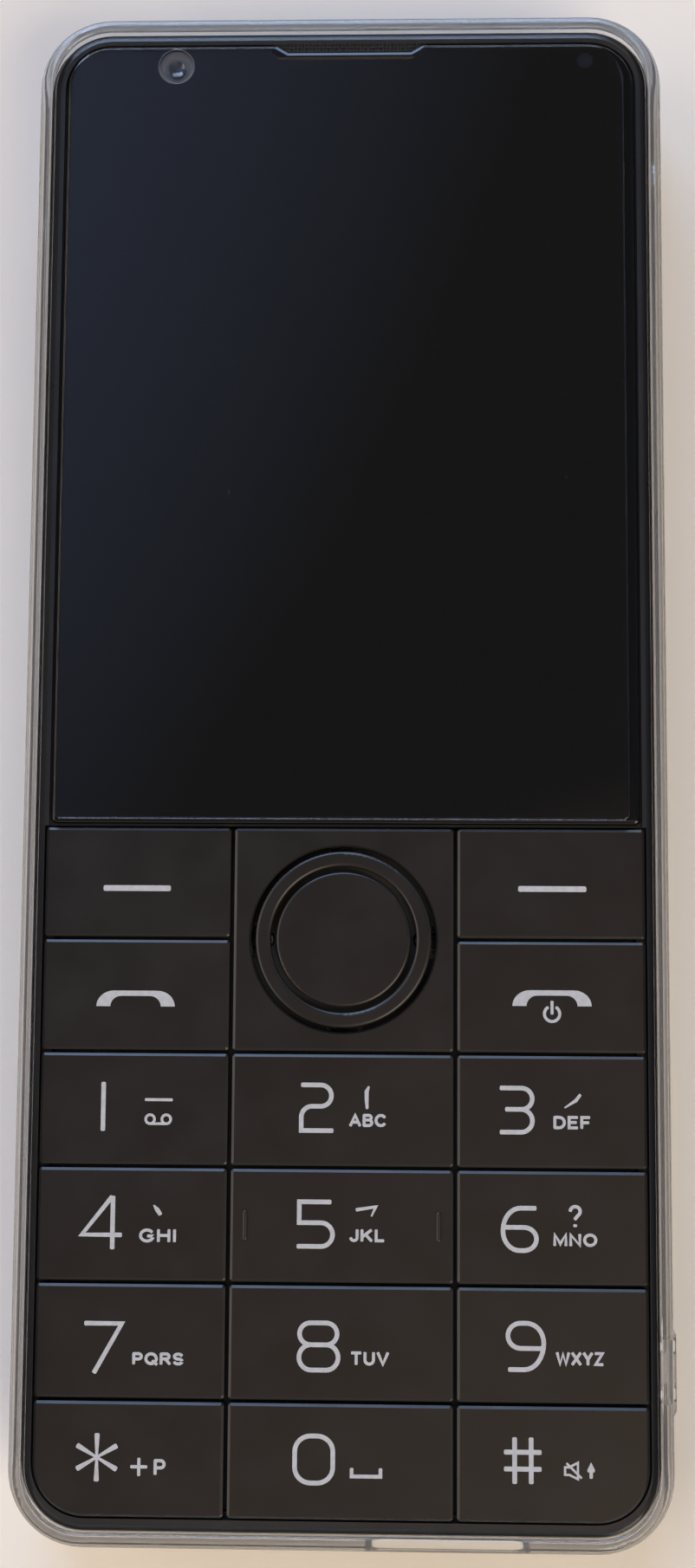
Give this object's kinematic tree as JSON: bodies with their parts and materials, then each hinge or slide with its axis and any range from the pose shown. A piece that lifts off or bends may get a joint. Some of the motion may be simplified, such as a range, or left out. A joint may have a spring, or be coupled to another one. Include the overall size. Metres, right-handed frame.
{
  "type": "mobile phone",
  "caption": "Slim bar-shaped keypad phone with a glass-fronted screen, four-way navigation ring and number keys, in a clear soft case with a strap bar.",
  "frame": {"origin": "middle of the case's flat back face, on the surface that the phone lies on", "axes": "+Z out of the screen and keys, +Y along the phone towards the earpiece, +X to the right as the screen is read"},
  "size_m": [0.0569, 0.1352, 0.0102],
  "materials": {
    "clear_soft_plastic": "clear, glossy",
    "protector_glass": "clear, polished",
    "cover_glass": "black, polished",
    "dark_mesh": "fine woven",
    "frame_plastic": "satin dark grey",
    "cover_plastic": "satin black",
    "display_glass": "black, off",
    "white_plastic": "white",
    "flex_film": "amber film",
    "camera_grey": "satin grey",
    "lens_glass": "dark, coated",
    "sensor_black": "black",
    "bare_steel": "satin",
    "key_plastic": "satin warm black with pale legends",
    "rocker_rubber": "matt",
    "web_silicone": "matt black",
    "led_white": "clear",
    "board_green": "solder mask",
    "gold_metal": "plated",
    "battery_foil": "matt pouch",
    "bezel_metal": "satin",
    "flash_plastic": "clear"
  },
  "bodies": {
    "phone": {"clear_case": "clear_soft_plastic", "screen_protector": "protector_glass", "cover_glass": "cover_glass", "earpiece_mesh": "dark_mesh", "front_frame": "frame_plastic", "rear_cover": "cover_plastic", "display_panel": "display_glass", "backlight": "white_plastic", "display_flex": "flex_film", "front_camera": "camera_grey", "front_camera_lens": "lens_glass", "proximity_sensor": "sensor_black", "earpiece_speaker": "bare_steel", "nav_plate": "key_plastic", "keypad_web": "web_silicone", "metal_domes": "bare_steel", "key_leds": "led_white", "main_board": "board_green", "shield_cans": "bare_steel", "board_chips": "sensor_black", "sim_socket": "bare_steel", "usb_socket": "bare_steel", "usb_tongue": "sensor_black", "microphone": "gold_metal", "loudspeaker": "sensor_black", "loudspeaker_mesh": "dark_mesh", "vibration_motor": "bare_steel", "battery": "battery_foil", "battery_lead": "flex_film", "link_flex": "flex_film", "top_board": "board_green", "rear_camera": "sensor_black", "rear_camera_bezel": "bezel_metal", "rear_camera_window": "lens_glass", "flash_led": "led_white", "flash_window": "flash_plastic", "antenna": "gold_metal", "screws": "bare_steel"},
    "key_left_soft": {"key_left_soft": "key_plastic"},
    "key_right_soft": {"key_right_soft": "key_plastic"},
    "key_call": {"key_call": "key_plastic"},
    "key_end": {"key_end": "key_plastic"},
    "key_1": {"key_1": "key_plastic"},
    "key_2": {"key_2": "key_plastic"},
    "key_3": {"key_3": "key_plastic"},
    "key_4": {"key_4": "key_plastic"},
    "key_5": {"key_5": "key_plastic"},
    "key_6": {"key_6": "key_plastic"},
    "key_7": {"key_7": "key_plastic"},
    "key_8": {"key_8": "key_plastic"},
    "key_9": {"key_9": "key_plastic"},
    "key_star": {"key_star": "key_plastic"},
    "key_0": {"key_0": "key_plastic"},
    "key_hash": {"key_hash": "key_plastic"},
    "key_ok": {"key_ok": "key_plastic"},
    "nav_rocker": {"nav_rocker": "rocker_rubber"},
    "nav_ring": {"nav_ring": "key_plastic"},
    "vibration_rotor": {"vibration_rotor": "gold_metal"}
  },
  "joints": [
    {"name": "key_left_soft_press", "type": "slide", "parent": "phone", "child": "key_left_soft", "axis": [0, 0, -1], "range_m": [0, 0.00025], "stiffness_N_per_m": 6000},
    {"name": "key_right_soft_press", "type": "slide", "parent": "phone", "child": "key_right_soft", "axis": [0, 0, -1], "range_m": [0, 0.00025], "stiffness_N_per_m": 6000},
    {"name": "key_call_press", "type": "slide", "parent": "phone", "child": "key_call", "axis": [0, 0, -1], "range_m": [0, 0.00025], "stiffness_N_per_m": 6000},
    {"name": "key_end_press", "type": "slide", "parent": "phone", "child": "key_end", "axis": [0, 0, -1], "range_m": [0, 0.00025], "stiffness_N_per_m": 6000},
    {"name": "key_1_press", "type": "slide", "parent": "phone", "child": "key_1", "axis": [0, 0, -1], "range_m": [0, 0.00025], "stiffness_N_per_m": 6000},
    {"name": "key_2_press", "type": "slide", "parent": "phone", "child": "key_2", "axis": [0, 0, -1], "range_m": [0, 0.00025], "stiffness_N_per_m": 6000},
    {"name": "key_3_press", "type": "slide", "parent": "phone", "child": "key_3", "axis": [0, 0, -1], "range_m": [0, 0.00025], "stiffness_N_per_m": 6000},
    {"name": "key_4_press", "type": "slide", "parent": "phone", "child": "key_4", "axis": [0, 0, -1], "range_m": [0, 0.00025], "stiffness_N_per_m": 6000},
    {"name": "key_5_press", "type": "slide", "parent": "phone", "child": "key_5", "axis": [0, 0, -1], "range_m": [0, 0.00025], "stiffness_N_per_m": 6000},
    {"name": "key_6_press", "type": "slide", "parent": "phone", "child": "key_6", "axis": [0, 0, -1], "range_m": [0, 0.00025], "stiffness_N_per_m": 6000},
    {"name": "key_7_press", "type": "slide", "parent": "phone", "child": "key_7", "axis": [0, 0, -1], "range_m": [0, 0.00025], "stiffness_N_per_m": 6000},
    {"name": "key_8_press", "type": "slide", "parent": "phone", "child": "key_8", "axis": [0, 0, -1], "range_m": [0, 0.00025], "stiffness_N_per_m": 6000},
    {"name": "key_9_press", "type": "slide", "parent": "phone", "child": "key_9", "axis": [0, 0, -1], "range_m": [0, 0.00025], "stiffness_N_per_m": 6000},
    {"name": "key_star_press", "type": "slide", "parent": "phone", "child": "key_star", "axis": [0, 0, -1], "range_m": [0, 0.00025], "stiffness_N_per_m": 6000},
    {"name": "key_0_press", "type": "slide", "parent": "phone", "child": "key_0", "axis": [0, 0, -1], "range_m": [0, 0.00025], "stiffness_N_per_m": 6000},
    {"name": "key_hash_press", "type": "slide", "parent": "phone", "child": "key_hash", "axis": [0, 0, -1], "range_m": [0, 0.00025], "stiffness_N_per_m": 6000},
    {"name": "key_ok_press", "type": "slide", "parent": "phone", "child": "key_ok", "axis": [0, 0, -1], "range_m": [0, 0.00025], "stiffness_N_per_m": 6000},
    {"name": "nav_tilt_up_down", "type": "hinge", "parent": "phone", "child": "nav_rocker", "pos_m": [0, -0.01625, 0.00838], "axis": [1, 0, 0], "range_deg": [-2, 2], "stiffness_Nm_per_rad": 0.3},
    {"name": "nav_tilt_left_right", "type": "hinge", "parent": "nav_rocker", "child": "nav_ring", "pos_m": [0, -0.01625, 0.00838], "axis": [0, 1, 0], "range_deg": [-2, 2], "stiffness_Nm_per_rad": 0.3},
    {"name": "vibration_spin", "type": "hinge", "parent": "phone", "child": "vibration_rotor", "pos_m": [0.017, -0.04935, 0.0046], "axis": [0, 0, 1], "continuous": true}
  ]
}
